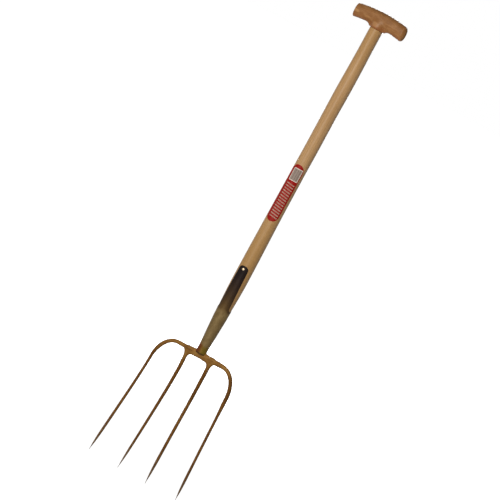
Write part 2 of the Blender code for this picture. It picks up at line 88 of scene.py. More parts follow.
def closedSweep(centres, across, depthways, widths, depths, sides, power=1.0):
    # a rounded section carried along a path: centre + across*w*cos^p + depthways*d*sin^p
    angle = fullTurn(sides)
    u = np.asarray(widths)[:, None] * signedPower(np.cos(angle), power)
    v = np.asarray(depths)[:, None] * signedPower(np.sin(angle), power)
    return centres[:, None] + across[:, None] * u[..., None] + depthways[:, None] * v[..., None]


def framedSweep(centres, widths, depths, sides, power=1.0):
    # the same, square to a path in X and Z that leans in Y, with its depth kept near Y
    along = unit(np.gradient(centres, axis=0))
    depthways = unit(np.array([0.0, 1.0, 0.0]) - along * along[:, 1:2])
    across = unit(np.cross(along, depthways))
    return closedSweep(centres, across, depthways, widths, depths, sides, power)


def turned(radii, heights, sides):
    # a profile turned about Z: x = r cos a, y = r sin a
    angle = fullTurn(sides)
    r = np.asarray(radii)[:, None]
    z = np.broadcast_to(np.asarray(heights)[:, None], (len(heights), sides))
    return joined(r * np.cos(angle), r * np.sin(angle), z)


def roundedDrop(distance, radius):
    # how far a surface falls away within a rounding's radius of its edge: a quarter circle
    t = np.clip(radius - distance, 0, radius)
    return radius - np.sqrt(radius**2 - t**2)


def closedMesh(name, shells, uv=None):
    # each shell is a grid of rings: quads between neighbours, and a cap over each end
    points, faces, start = [], [], 0
    for shell in shells:
        rows, columns = shell.shape[:2]
        a, b = np.meshgrid(np.arange(rows - 1), np.arange(columns), indexing="ij")
        n = (b + 1) % columns
        ring = [a * columns + b, a * columns + n, (a + 1) * columns + n, (a + 1) * columns + b]
        faces += (joined(*ring).reshape(-1, 4) + start).tolist()
        last = start + (rows - 1) * columns
        caps = range(start + columns - 1, start - 1, -1), range(last, last + columns)
        faces += [list(cap) for cap in caps]
        points.append(shell.reshape(-1, 3))
        start += rows * columns
    mesh = bpy.data.meshes.new(name)
    mesh.from_pydata(np.concatenate(points).tolist(), [], faces)
    if uv is not None:
        layer = mesh.uv_layers.new(name="UVMap")
        corner = np.empty(len(mesh.loops), dtype=np.int32)
        mesh.loops.foreach_get("vertex_index", corner)
        layer.data.foreach_set("uv", uv[corner].astype(np.float32).ravel())
    bm = bmesh.new()
    bm.from_mesh(mesh)
    bmesh.ops.recalc_face_normals(bm, faces=bm.faces)
    bm.to_mesh(mesh)
    bm.free()
    return mesh


def newObject(name, data):
    made = bpy.data.objects.new(name, data)
    bpy.context.scene.collection.objects.link(made)
    return made


def vertexSpots(mesh):
    spots = np.empty(len(mesh.vertices) * 3)
    mesh.vertices.foreach_get("co", spots)
    return spots.reshape(-1, 3)


# the shaft has warped, to the left from the bar to the label and to the right at the grip
bowPlan = dict(
    right=1.3,  # mm, reached between two heights
    rightSpan=(930, 1080),
    left=0.55,
    leftSpan=(860, 780),
    bends=((670, 90, 0.45), (325, 20, 0.4)),  # more to the left: height, spread, mm
    bentSpan=(314, 330),  # the head below is not bent
)


def bow(h):
    # how far a point at this height stands to the right
    p = bowPlan
    left = p["left"] * ramp(h, *p["leftSpan"])
    for height, spread, much in p["bends"]:
        left = left + much * bump(h, height, spread)
    return p["right"] * ramp(h, *p["rightSpan"]) - left * ramp(h, *p["bentSpan"])


def addPiece(name, surface, material, node=None, uv=None):
    # from mm above the points to metres in the frame, then onto the one body
    mesh = surface if isinstance(surface, bpy.types.Mesh) else closedMesh(name, surface, uv)
    spots = vertexSpots(mesh)
    spots[:, 0] += bow(spots[:, 2])
    placed = (spots - [0, 0, hangHeight]) * mm
    mesh.vertices.foreach_set("co", placed.ravel())
    mesh.update()
    mesh.materials.append(material)
    mesh.shade_smooth()
    mesh.set_sharp_from_angle(angle=math.radians(sharpAngle))
    piece = newObject(name, mesh)
    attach(piece, "root")
    if node:
        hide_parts(node)
    print("made", name, "with", len(mesh.polygons), "faces")


# Shader helpers

times = {"operation": "MULTIPLY"}
plus = {"operation": "ADD"}
minus = {"operation": "SUBTRACT"}
scaledPlus = {"operation": "MULTIPLY_ADD"}
fraction = {"operation": "FRACT"}
absolute = {"operation": "ABSOLUTE"}
largest = {"operation": "MAXIMUM"}
lessThan = {"operation": "LESS_THAN"}
eased = {"interpolation_type": "SMOOTHSTEP"}


def linear(colour):
    # sRGB hex to linear light; a plain number is a grey that is linear already
    if not isinstance(colour, str):
        return (colour, colour, colour, 1)
    channels = [int(colour[i : i + 2], 16) / 255 for i in (0, 2, 4)]
    return (*[c / 12.92 if c <= 0.04045 else ((c + 0.055) / 1.055) ** 2.4 for c in channels], 1)


def feed(node, inputs):
    # by name or in order: an input takes another node's output, a hex colour or a fixed value
    for key, value in inputs.items() if isinstance(inputs, dict) else enumerate(inputs):
        if isinstance(value, bpy.types.NodeSocket):
            node.id_data.links.new(value, node.inputs[key])
        else:
            node.inputs[key].default_value = linear(value) if isinstance(value, str) else value


def addNode(tree, kind, settings, inputs, take=0):
    # one node with its settings and links; "stops" are a colour ramp's places and colours
    node = tree.nodes.new("ShaderNode" + kind)
    for key, value in settings.items():
        if key != "stops":
            setattr(node, key, value)
    for i, (place, colour) in enumerate(settings.get("stops", ())):
        elements = node.color_ramp.elements
        element = elements[i] if i < 2 else elements.new(place)
        element.position = place
        element.color = linear(colour)
    feed(node, inputs)
    return node.outputs[take] if node.outputs else node


def emptied(data):
    # a tree without its usual nodes, as what adds others to it
    data.use_nodes = True
    data.node_tree.nodes.clear()
    return functools.partial(addNode, data.node_tree)


def newMaterial(name, settings):
    # a Principled material, what adds nodes to it, and its Object coordinates
    material = bpy.data.materials.new(name)
    material.use_nodes = True
    feed(material.node_tree.nodes["Principled BSDF"], settings)
    add = functools.partial(addNode, material.node_tree)
    return material, add, add("TexCoord", {}, (), "Object")


def mottled(add, coords, size, detail=3.0, roughness=0.6):
    # cloudy noise whose patches are about so many mm long in X, Y and Z
    place = add("Mapping", {}, {"Vector": coords, "Scale": [1 / (s * mm) for s in size]})
    return add("TexNoise", {}, {"Vector": place, "Scale": 1.0, "Detail": detail, "Roughness": roughness})


def limits(value, span, least=0.0, most=1.0):
    # from least to most over a span of the value
    return {"Value": value, "From Min": span[0], "From Max": span[1], "To Min": least, "To Max": most}


def covered(add, colour, value, shade, most=1.0, span=None):
    # a shade over the colour, by the value times most, or rising to most over a span of it
    if span:
        share = add("MapRange", eased, limits(value, span, 0.0, most))
    else:
        share = add("Math", times, (value, most))
    return add("MixRGB", {}, {"Fac": share, "Color1": colour, "Color2": shade})


def measured(add, place, axis, scale, start=0.0):
    # how many mm along one axis a place is, counted from a start
    return add("Math", scaledPlus, (add("SeparateXYZ", {}, (place,), axis), scale, start))


def placeOnFork(add, coords):
    # mm to the right of the shaft's axis, and above the points
    return measured(add, coords, "X", 1 / mm), measured(add, coords, "Z", 1 / mm, hangHeight)


def finish(material, add, colour, relief, bump, value=None, rough=(), span=(0.3, 0.7)):
    # colour, a relief some mm deep, and a roughness that may change over a span of a value
    shader = material.node_tree.nodes["Principled BSDF"]
    normal = add("Bump", {}, {"Height": relief, "Distance": bump[0] * mm, "Strength": bump[1]})
    feed(shader, {"Base Color": colour, "Normal": normal})
    if rough:
        feed(shader, {"Roughness": add("MapRange", eased, limits(value, span, *rough))})
    return material


# Wood. What lies over a tone is given as its colour, share and span

ashPlan = dict(
    ring=3.2,  # mm between growth rings
    pith=(0.062, 0.048, 0),  # m from the tree's middle, across the grain
    acrossGrain=(1, 1, 0),
    drift=5,  # rings that the spacing strays by
    driftSize=(111.1, 111.1, 625),
    # mm, about twice as wide as in real ash so that the pores show
    poreSize=(0.45, 0.45, 14),
    streakSize=(3.846, 3.846, 142.86),
    patchSize=(33.33, 33.33, 285.7),
    tones=[(0.3, "a98254"), (0.5, "b48d60"), (0.72, "bf996c")],
    earlyWood=("92693b", 0.26),
    patches=("a77f4a", 0.3, (0.35, 0.7)),
    pores=("7a5632", 0.38),
    nearSocket=("a47d4a", 0.9, (780, 540)),  # yellower
    nearGrip=("9f7745", 0.45, (1040, 1110)),  # browner
    roughness=(0.3, 0.42),
    bump=(0.12, 0.5),  # mm deep, and how much of it counts
)
stainPlan = dict(
    ring=2.6,
    pith=(0, 0.055, 0.03),
    acrossGrain=(0, 1, 1),
    drift=4,
    driftSize=(111.1, 45.45, 45.45),
    poreSize=(7, 0.45, 0.45),
    mottleSize=(22.22, 12.5, 12.5),
    tones=[(0.3, "82552a"), (0.5, "8f6136"), (0.7, "9c6e42")],
    earlyWood=("714722", 0.22),
    pores=("4e2c14", 0.4),
    # painted shade along the top of the grip, and a painted warm reflection low down towards the neck
    topPaintedShade=("64492a", 0.4, (1186, 1196)),
    lowerPaintedReflection=("94502a", 0.35, (1168, 1156)),
    # painted highlights over the knuckle, near the left end and along the arms, and painted shade in the
    # hollows beside the knuckle and on the left arm:
    # mm across, height, half width, half height, share and colour
    paintedHighlightsAndShade=(
        (-1.5, 1164, 11, 6, 0.5, "b98a5e"),
        (-15.5, 1163, 6, 5, 0.5, "7d4a1e"),
        (17.5, 1163, 6, 5, 0.45, "7d4a1e"),
        (-58.5, 1172, 9, 3.5, 0.55, "b98a58"),
        (-28.5, 1171, 12, 2.5, 0.35, "b08050"),
        (-40.5, 1167, 7, 4, 0.3, "7f4d22"),
        (36.5, 1176, 18, 2, 0.3, "ad7f54"),
    ),
    paintedLightWaver=(2.6, -1.3),  # breaks their outlines: mottle times the first plus the second
    paintedLightSpan=(1.3, 0.1),
    endMiddle=1.1,  # mm across
    endSpan=(64.5, 66.5),
    # painted light on the grip's rounded ends
    endPaintedLight=("ad7b4a", 0.5),
    roughness=(0.36, 0.8),
    bump=(0.1, 0.35),
)


def woodFigure(add, coords, p):
    # growth rings round the pith, as the fraction of distance / spacing + drift, and long pores
    early = [(0, 1.0), (0.16, 0.75), (0.45, 0.12), (0.93, 0.0), (1, 0.9)]
    spot = add("Mapping", {}, {"Vector": coords, "Location": p["pith"], "Scale": p["acrossGrain"]})
    away = add("VectorMath", {"operation": "LENGTH"}, (spot,), "Value")
    drift = add("Math", times, (mottled(add, coords, p["driftSize"], 2.0, 0.5), p["drift"]))
    ring = add("Math", scaledPlus, (away, 1 / (p["ring"] * mm), drift))
    ring = add("Math", fraction, (ring,))
    pores = mottled(add, coords, p["poreSize"], 1.0, 0.5)
    pores = add("MapRange", eased, limits(pores, (0.56, 0.72)))
    return add("ValToRGB", {"stops": early}, (ring,)), pores


def turnedAsh():
    # pale ash under thin satin varnish: long straight rings, fine dark pores, soft streaks
    p = ashPlan
    material, add, coords = newMaterial("turnedAsh", {"Specular IOR Level": 0.2})
    early, pores = woodFigure(add, coords, p)
    # most pores lie in the early wood
    pores = add("Math", times, (pores, add("Math", scaledPlus, (early, 0.75, 0.25))))
    streaks = mottled(add, coords, p["streakSize"])
    broad = mottled(add, coords, p["patchSize"], 2.0, 0.5)
    above = measured(add, coords, "Z", 1 / mm, hangHeight)
    colour = add("ValToRGB", {"stops": p["tones"]}, (streaks,))
    layers = {"earlyWood": early, "patches": broad, "pores": pores, "nearSocket": above, "nearGrip": above}
    for layer, value in layers.items():
        colour = covered(add, colour, value, *p[layer])
    relief = add("Math", times, (streaks, 0.5))
    relief = add("Math", minus, (relief, pores))
    return finish(material, add, colour, relief, p["bump"], streaks, p["roughness"])


def stainedAsh():
    # orange-brown stain under glossy varnish, the grain along the grip and pores filled dark
    p = stainPlan
    material, add, coords = newMaterial("stainedAsh", {"Specular IOR Level": 0.14})
    early, pores = woodFigure(add, coords, p)
    mottle = mottled(add, coords, p["mottleSize"])
    across, above = placeOnFork(add, coords)
    colour = add("ValToRGB", {"stops": p["tones"]}, (mottle,))
    # painted shade on the top and a painted warm reflection below, over the stain
    layers = {"earlyWood": early, "pores": pores, "topPaintedShade": above, "lowerPaintedReflection": above}
    for layer, value in layers.items():
        colour = covered(add, colour, value, *p[layer])
    # painted highlights and painted shade, laid on as soft patches with wavering outlines
    waver = add("Math", scaledPlus, (mottle, *p["paintedLightWaver"]))
    for middle, level, wide, tall, most, shade in p["paintedHighlightsAndShade"]:
        spread = waver
        for value, at, half in ((across, middle, wide), (above, level, tall)):
            off = add("Math", scaledPlus, (value, 1 / half, -at / half))
            spread = add("Math", scaledPlus, (off, off, spread))
        colour = covered(add, colour, spread, shade, most, p["paintedLightSpan"])
    # the ends are painted lighter, a painted light against the shade of their rounding, and made duller
    reach = add("Math", minus, (across, p["endMiddle"]))
    reach = add("Math", absolute, (reach,))
    colour = covered(add, colour, reach, *p["endPaintedLight"], p["endSpan"])
    relief = add("Math", minus, (mottle, pores))
    return finish(material, add, colour, relief, p["bump"], reach, p["roughness"], p["endSpan"])


# Steel

lacquerPlan = dict(
    patchSize=(14.286, 14.286, 22.222),  # mm
    patchRoughness=0.55,
    speckSize=(2.381, 2.381, 3.3333),
    speckShare=0.25,
    markSize=(6.25, 6.25, 8.3333),
    gold=[(0.34, "734d1f"), (0.5, "805927"), (0.66, "8d6733")],
    brown=[(0.34, "523209"), (0.5, "603b0d"), (0.66, "6f4916")],
    brownSlope=-0.12,  # it starts lower on the right
    brownSpan=(317, 275),
    worn=[(0.34, "483622"), (0.5, "5a452c"), (0.66, "6d583d")],
    wornSpan=(95, 5),
    roughness=(0.42, 0.56),
    bump=(0.5, 0.3),
)
scalePlan = dict(
    patchSize=(11.111, 11.111, 16.667),
    patchRoughness=0.6,
    speckSize=(2, 2, 3.8462),
    speckShare=0.3,
    wander=(14, -7),  # mm that the tints' edges stray: patches times one plus the other
    # heat tint: red-brown to the left and olive to the right, below a slanting edge
    redTint="653014",
    oliveTint=("6a5619", 1, (-9, 7)),
    tintSlope=0.4,
    tintSpan=(333, 343),
    olive=[(0.34, "665231"), (0.5, "725d3a"), (0.66, "7e6944")],
    # black forge scale deepens up the straps; it reaches lower along their edges as painted shade where
    # they curve round the shaft
    scale=[(0, "634c2b"), (0.15, "513c20"), (0.45, "372718"), (0.85, "1e1310"), (1, "19100d")],
    scaleFrom=(424, 434),
    scaleSpan=(428, 525),
    scaleWander=1.6,
    sideShadeRise=0.13,  # mm for each mm^2 across
    footDarkening=("2b1a0e", 1, (320.5, 317.5)),  # where the foot is joined to the bar
    roughness=(0.38, 0.52),
    bump=(0.4, 0.3),
)


def forgedNoise(add, coords, p):
    # broad patches, fine specks and the two mixed
    patches = mottled(add, coords, p["patchSize"], 3.0, p["patchRoughness"])
    fine = mottled(add, coords, p["speckSize"])
    mixed = add("Math", times, (fine, p["speckShare"]))
    return patches, fine, add("Math", scaledPlus, (patches, 1 - p["speckShare"], mixed))


def lacqueredSteel():
    # forged steel under golden clear lacquer: soft hammer marks, gold drifting to brown
    p = lacquerPlan
    material, add, coords = newMaterial("lacqueredSteel", {"Metallic": 0.15, "Specular IOR Level": 0.1})
    fine, mixed = forgedNoise(add, coords, p)[1:]
    gold, brown, worn = (add("ValToRGB", {"stops": p[key]}, (mixed,)) for key in ("gold", "brown", "worn"))
    across, above = placeOnFork(add, coords)
    level = add("Math", scaledPlus, (across, p["brownSlope"], above))
    colour = covered(add, gold, level, brown, 1.0, p["brownSpan"])
    colour = covered(add, colour, above, worn, 1.0, p["wornSpan"])
    marks = mottled(add, coords, p["markSize"], 2.0, 0.5)
    relief = add("Math", scaledPlus, (fine, 0.2, marks))
    return finish(material, add, colour, relief, p["bump"], fine, p["roughness"])


def socketSteel():
    # forged socket: heat tint at the foot, olive bronze cone, nearly black scale on the straps
    p = scalePlan
    material, add, coords = newMaterial("socketSteel", {"Metallic": 0.15, "Specular IOR Level": 0.08})
    across, above = placeOnFork(add, coords)
    patches, fine, mixed = forgedNoise(add, coords, p)
    wander = add("Math", scaledPlus, (patches, *p["wander"]))
    level = add("Math", scaledPlus, (across, p["tintSlope"], above))
    level = add("Math", plus, (level, wander))
    tint = covered(add, p["redTint"], across, *p["oliveTint"])
    olive = add("ValToRGB", {"stops": p["olive"]}, (mixed,))
    colour = covered(add, tint, level, olive, 1.0, p["tintSpan"])
    strapLevel = add("Math", scaledPlus, (wander, p["scaleWander"], above))
    # towards the straps' edges the scale starts lower: painted shade where they curve away
    edge = add("Math", times, (across, across))
    sideShadedLevel = add("Math", scaledPlus, (edge, p["sideShadeRise"], strapLevel))
    rise = add("MapRange", {}, limits(sideShadedLevel, p["scaleSpan"]))
    scale = add("ValToRGB", {"stops": p["scale"]}, (rise,))
    colour = covered(add, colour, strapLevel, scale, 1.0, p["scaleFrom"])
    # darker at the very foot, where it is joined to the bar
    colour = covered(add, colour, above, *p["footDarkening"])
    relief = add("Math", scaledPlus, (fine, 0.3, patches))
    return finish(material, add, colour, relief, p["bump"], fine, p["roughness"])


def brightSteel():
    # bare rivet steel, hammered and a little dulled
    material, add, coords = newMaterial("brightSteel", {"Metallic": 1.0, "Roughness": 0.34})
    dents = mottled(add, coords, (1.4286,) * 3)
    tone = add("ValToRGB", {"stops": [(0.3, "a08a6a"), (0.5, "c2ab88"), (0.7, "d8c6a6")]}, (dents,))
    return finish(material, add, tone, dents, (0.2, 0.4))


# Fork head

headPlan = dict(
    barHeight=314.2,
    barHalfHeight=8.4,
    barSwell=(0.7, 16, 7),  # taller beside the socket's foot: mm, where and spread
    barHalfDepth=5.6,
    thinSpan=(30, 45),  # mm across in which the bar thins to the shoulder
    barRise=1.6,
    askewRise=0.014,  # the right arm of the bar stands higher, and all tines lean right
    askewSpan=(262, 307),
    askewSide=0.0015,
    # the tines stand back behind the bar and then lean forward
    stepBack=3.2,
    stepLength=45,
    leanSlope=0.118,
    leanFrom=228,
    leanEase=20,
    shoulderHalfWidth=4.5,
    shoulderHalfDepth=4.4,
    shoulderStart=58,
    shoulderAcross=46,
    shoulderDown=60,
    # hand forged, so the two sides differ a little: 1 is the right side, -1 the left
    outerTip={1: 3.2, -1: 3.6},
    outerSplay={1: 16.6, -1: 15.6},
    innerSpread=30.4,
    innerSplay=7.6,
    innerHalfWidth={1: 4.05, -1: 3.95},
    innerLowHalfWidth={1: 3.35, -1: 2.9},
    outerHalfWidth=3.3,
    outerLowHalfWidth=3.15,
    taperSpan=(80, 230),
    depthRatio=1.1,
    pointLength=80,
    outerPointPower=3.4,
    innerPointPower=2.7,
    pointRadius=0.5,
    shoulderBulge={1: (0.4, 2.4), -1: (-0.4, 0.6)},  # mm, out to the side and upwards
    shoulderShare={1: 1.2, -1: 1.05},
    # where along the loop it is stouter still: mm from the bar's middle, spread, share
    swells={1: ((47, 14, 0.38), (150, 30, 0.25)), -1: ((48, 10, 0.15), (106, 26, 0.25))},
    roundPower=0.88,  # the sections are a little fuller than an ellipse
    rootFillet=(9, 9.5, 1.3),  # on the outer side, the inner side and the front
    rootTall=(0.6, 0.25),  # those at the sides are this much taller than wide
    # the inner tines step out and thicken as they reach the bar: mm, and over how many
    rootLean=(0.4, 28),
    rootSwell=(0.6, 60),
    unevenness=0.014 / 1.7,  # share of the section for each wave
    hammerWaves=(6.1, 13.7, 31),  # mm for each radian
    outerPhase={1: 0.4, -1: 2.1},
    innerPhase={1: 2.3, -1: 0.3},
    sides=40,
    beadHalf=(12.7, 5.05),  # mm across and from front to back
    beadCorner=0.5,  # power of its superellipse
    beadUpwards=0.4,  # how far it leans so
    beadRadius=1.45,
    beadWaves=((0.1, 37), (0.06, 11)),  # share of its radius, and how many go round
)


def tineLean(h):
    # y of a tine's middle: back below the bar, then forward by slope * ease * ln(1 + e^(d / ease))
    p = headPlan
    back = p["stepBack"] * ramp(h, p["barHeight"], p["barHeight"] - p["stepLength"])
    return back - p["leanSlope"] * p["leanEase"] * np.log1p(np.exp((p["leanFrom"] - h) / p["leanEase"]))


def askew(spots):
    # x + side (bar - z), and z + rise x, which fades out down the shoulders
    p = headPlan
    x, y, z = np.moveaxis(spots, -1, 0)
    rise = p["askewRise"] * x * ramp(z, *p["askewSpan"])
    return joined(x + p["askewSide"] * (p["barHeight"] - z), y, z + rise)


def tineHalfWidth(h, tip, full, low, power):
    # full above, a slow taper, then the drawn point: (low + (full - low) s)(1 - (1 - t)^power)
    p = headPlan
    foot, top = p["taperSpan"]
    width = mix(low, full, np.clip((h - foot) / (top - foot), 0, 1))
    above = np.clip((h - tip) / p["pointLength"], 0, 1)
    return np.maximum(width * (1 - (1 - above) ** power), p["pointRadius"])


def barSection(x):
    # the height of its middle, half its height and half its depth, as it thins to the shoulders
    p = headPlan
    thin = ramp(np.abs(x), *p["thinSpan"])
    much, at, spread = p["barSwell"]
    full = p["barHalfHeight"] + much * bump(np.abs(x), at, spread)
    deep = mix(p["barHalfDepth"], p["shoulderHalfDepth"], thin)
    return p["barHeight"] + p["barRise"] * thin, mix(full, p["shoulderHalfWidth"], thin), deep


def barSkin(x, y, side):
    # height of the bar's top (side 1) or underside (side -1) above a point of its plan
    centre, tall, deep = barSection(x)
    n = 2 / headPlan["roundPower"]
    return centre + side * tall * np.clip(1 - (np.abs(y) / deep) ** n, 0, 1) ** (1 / n)


def hammered(length, phase):
    # slow swells left by the hammer, as a share of the section: three sines of unlike length
    waves = enumerate(headPlan["hammerWaves"], 1)
    return headPlan["unevenness"] * sum(np.sin(length / w + i * phase) for i, w in waves)


def halfLoop(side):
    # from the bar's middle over one shoulder and down the outer tine
    p = headPlan
    start, full = p["shoulderStart"], p["outerHalfWidth"]
    x = np.linspace(0, start, 60)[:-1]
    centre, tall, deep = barSection(x)
    bar = joined(x, 0 * x, centre)
    widths, depths = [tall], [deep]
    # the shoulder is a quarter of an ellipse, pushed out by bulge * sin^2(2t)
    t = quarterTurn(60)
    share = t * 2 / math.pi
    foot = barSection(start)[0] - p["shoulderDown"]
    sideways, upwards = p["shoulderBulge"][side]
    mid = np.sin(2 * t) ** 2
    sx = start + (p["shoulderAcross"] + sideways * mid) * np.sin(t)
    sz = foot + (p["shoulderDown"] + upwards * mid) * np.cos(t)
    shoulder = joined(sx, tineLean(sz), sz)
    widths.append(mix(p["shoulderHalfWidth"], full, share))
    depths.append(mix(p["shoulderHalfDepth"], full * p["depthRatio"], share))
    # the outer tine splays a little further all the way to its point
    fall = 1 - (1 - np.linspace(0, 1, 190)[1:]) ** 1.25
    tip = p["outerTip"][side]
    tz = foot - (foot - tip) * fall
    tx = start + p["shoulderAcross"] + p["outerSplay"][side] * fall**1.15
    tine = joined(tx, tineLean(tz), tz)
    widths.append(tineHalfWidth(tz, tip, full, p["outerLowHalfWidth"], p["outerPointPower"]))
    depths.append(widths[-1] * p["depthRatio"])
    centres = np.concatenate([bar, shoulder, tine])
    length = np.concatenate([[0], np.cumsum(np.linalg.norm(np.diff(centres, axis=0), axis=1))])
    uneven = 1 + hammered(length, p["outerPhase"][side]) * ramp(length, 40, 70)
    # one shoulder is a little stouter than the other
    bend = ramp(length, 45, 75) * ramp(length, 190, 120)
    uneven = uneven * (1 + (p["shoulderShare"][side] - 1) * bend)
    for at, spread, share in p["swells"][side]:
        uneven = uneven * (1 + share * bump(length, at, spread))
    return centres * [side, 1, 1], np.concatenate(widths) * uneven, np.concatenate(depths) * uneven


def outerLoop():
    # from one outer point over both shoulders to the other, as one tapered rod
    left, right = halfLoop(-1), halfLoop(1)
    centres, widths, depths = (np.concatenate([a[:0:-1], b]) for a, b in zip(left, right))
    return askew(framedSweep(centres, widths, depths, headPlan["sides"], headPlan["roundPower"]))


def innerTine(side):
    # a rod from the point up to its root, whose rings then spread in a fillet under the bar
    p = headPlan
    barFoot = p["barHeight"] - p["barHalfHeight"]
    outerFillet, innerFillet, frontFillet = p["rootFillet"]
    outerTall, innerTall = p["rootTall"]
    rootStart = barFoot - outerFillet * (1 + outerTall) - 1
    h = rootStart * (1 - np.linspace(0, 1, 200) ** 1.2)[::-1]
    x = p["innerSpread"] + p["innerSplay"] * np.maximum(1 - h / 300, 0) ** 1.6
    fromRoot = rootStart - h
    much, reach = p["rootLean"]
    x = x + much * ramp(fromRoot, reach, 0)
    centres = joined(x, tineLean(h), h)
    uneven = 1 + hammered(fromRoot, p["innerPhase"][side]) * ramp(fromRoot, 0, 30)
    full, low = p["innerHalfWidth"][side], p["innerLowHalfWidth"][side]
    power, ratio = p["roundPower"], p["depthRatio"]
    widths = tineHalfWidth(h, 0, full, low, p["innerPointPower"]) * uneven
    much, reach = p["rootSwell"]
    widths = widths + much * ramp(fromRoot, reach, 0)
    rod = framedSweep(centres, widths, widths * ratio, p["sides"], power)
    # ring angle a; the fillet's radius runs from the side one to the front one round the ring
    a = fullTurn(p["sides"])
    outX, outY = -np.cos(a), np.sin(a)
    ringX = widths[-1] * signedPower(outX, power)
    ringY = widths[-1] * ratio * signedPower(outY, power)
    outer = outX > 0
    sideFillet = np.where(outer, outerFillet, innerFillet)
    radius = np.hypot(sideFillet * np.cos(a), frontFillet * np.sin(a))
    turn = quarterTurn(22)[:, None]
    spread = radius * (1 - np.cos(turn))
    fx = x[-1] + ringX + outX * spread
    fy = tineLean(barFoot - radius / 2) + ringY + outY * spread
    tall = radius * (1 + np.where(outer, outerTall, innerTall) * np.abs(outX))
    # its last ring goes a hair into the bar
    fz = barSkin(fx, fy, -1) - tall * (1 - np.sin(turn)) + 0.04 * np.sin(turn)
    fillet = joined(fx, fy, fz)
    sunk = fillet[-1:] * [1, 0.8, 1] + [0, 0, 1.5]
    sunk[..., 0] += 0.2 * (p["innerSpread"] - sunk[..., 0])
    return askew(np.concatenate([rod, fillet, sunk]) * [side, 1, 1])


def weldBead():
    # a rounded rectangle in plan, draped over the bar where the socket's foot straddles it
    p = headPlan
    a = np.linspace(0, 2 * math.pi, 161)
    wide, deep = p["beadHalf"]
    x = wide * signedPower(np.cos(a), p["beadCorner"])
    y = deep * signedPower(np.sin(a), p["beadCorner"])
    centres = joined(x, y, barSkin(x, y, 1))
    along = np.roll(centres, -1, axis=0) - np.roll(centres, 1, axis=0)
    along[0] = along[-1] = centres[1] - centres[-2]
    along = unit(along)
    outward = unit(joined(x, y, 0 * x + p["beadUpwards"] * wide))
    side = unit(np.cross(along, outward))
    outward = np.cross(side, along)
    size = p["beadRadius"] * sum((much * np.sin(n * a) for much, n in p["beadWaves"]), 1)
    return closedSweep(centres, outward, side, size, size, 14)


# Socket, rivet, shaft

socketPlan = dict(
    foot=317,
    footLength=16,
    footRound=1.6,
    floor=334,  # solid below
    mouth=412,
    footRadius=12.9,
    waistRadius=12.4,
    mouthRadius=16.35,
    conePower=1.15,
    settle=40,  # mm above the mouth in which the straps come down on the shaft
    notch=432,  # where the straps part
    notchRound=7,
    notchFlat=5,
    notchPower=2.4,
    strapTop=541.8,
    strapPower=0.7,  # the strap's round top is a little squarer than a circle
    strapTwist=0.045,  # radians that the straps are turned about the shaft
    twistLength=60,
    strapHalfWidth=12,
    strapFootHalfWidth=14.2,
    proud=0.8,
    wall=2,
    edge=0.8,  # rounding of the forged edges
    dents=((0.05, 7, 3), (0.04, 17, -2)),  # mm deep, mm for each radian, turn round the shaft
    rivetHeight=534.2,
    rivetRadius=3.1,
    rivetDome=1.5,
)
shaftPlan = dict(
    foot=414,
    radius=16.4,
    swell=1.9,  # where the socket takes it
    swellHeight=505,
    swellAbove=150,
    swellBelow=56,
    upperSwell=(0.6, 1000, 45),  # mm, height and spread
    topTaper=0.65,  # mm of radius, between two heights
    taperSpan=(1045, 1105),
    topRound=0.8,
    inSocketTo=460,
    play=0.2,
    seam=1154,
    gap=0.3,
)


def shaftRadius(h):
    h = np.asarray(h, float)
    p = shaftPlan
    spread = np.where(h > p["swellHeight"], p["swellAbove"], p["swellBelow"])
    much, at, wide = p["upperSwell"]
    swell = p["swell"] * bump(h, p["swellHeight"], spread) + much * bump(h, at, wide)
    return p["radius"] + swell - p["topTaper"] * ramp(h, *p["taperSpan"])


def socketRadius(h):
    # a cone on a short parallel foot, easing onto the shaft above the mouth
    p = socketPlan
    waist = p["foot"] + p["footLength"]
    share = np.clip((h - waist) / (p["mouth"] - waist), 0, 1)
    cone = mix(p["waistRadius"], p["mouthRadius"], share ** p["conePower"])
    cone = cone + (p["footRadius"] - p["waistRadius"]) * ramp(h, waist, p["foot"])
    settled = ramp(h, p["mouth"], p["mouth"] + p["settle"])
    return np.where(h < p["mouth"], cone, mix(p["mouthRadius"], shaftRadius(h) + p["proud"], settled))


def twisted(spots):
    # above the socket's mouth each point is turned about the shaft's axis
    p = socketPlan
    x, y, z = np.moveaxis(spots, -1, 0)
    turn = p["strapTwist"] * ramp(z, p["mouth"], p["mouth"] + p["twistLength"])
    return joined(x * np.cos(turn) - y * np.sin(turn), x * np.sin(turn) + y * np.cos(turn), z)


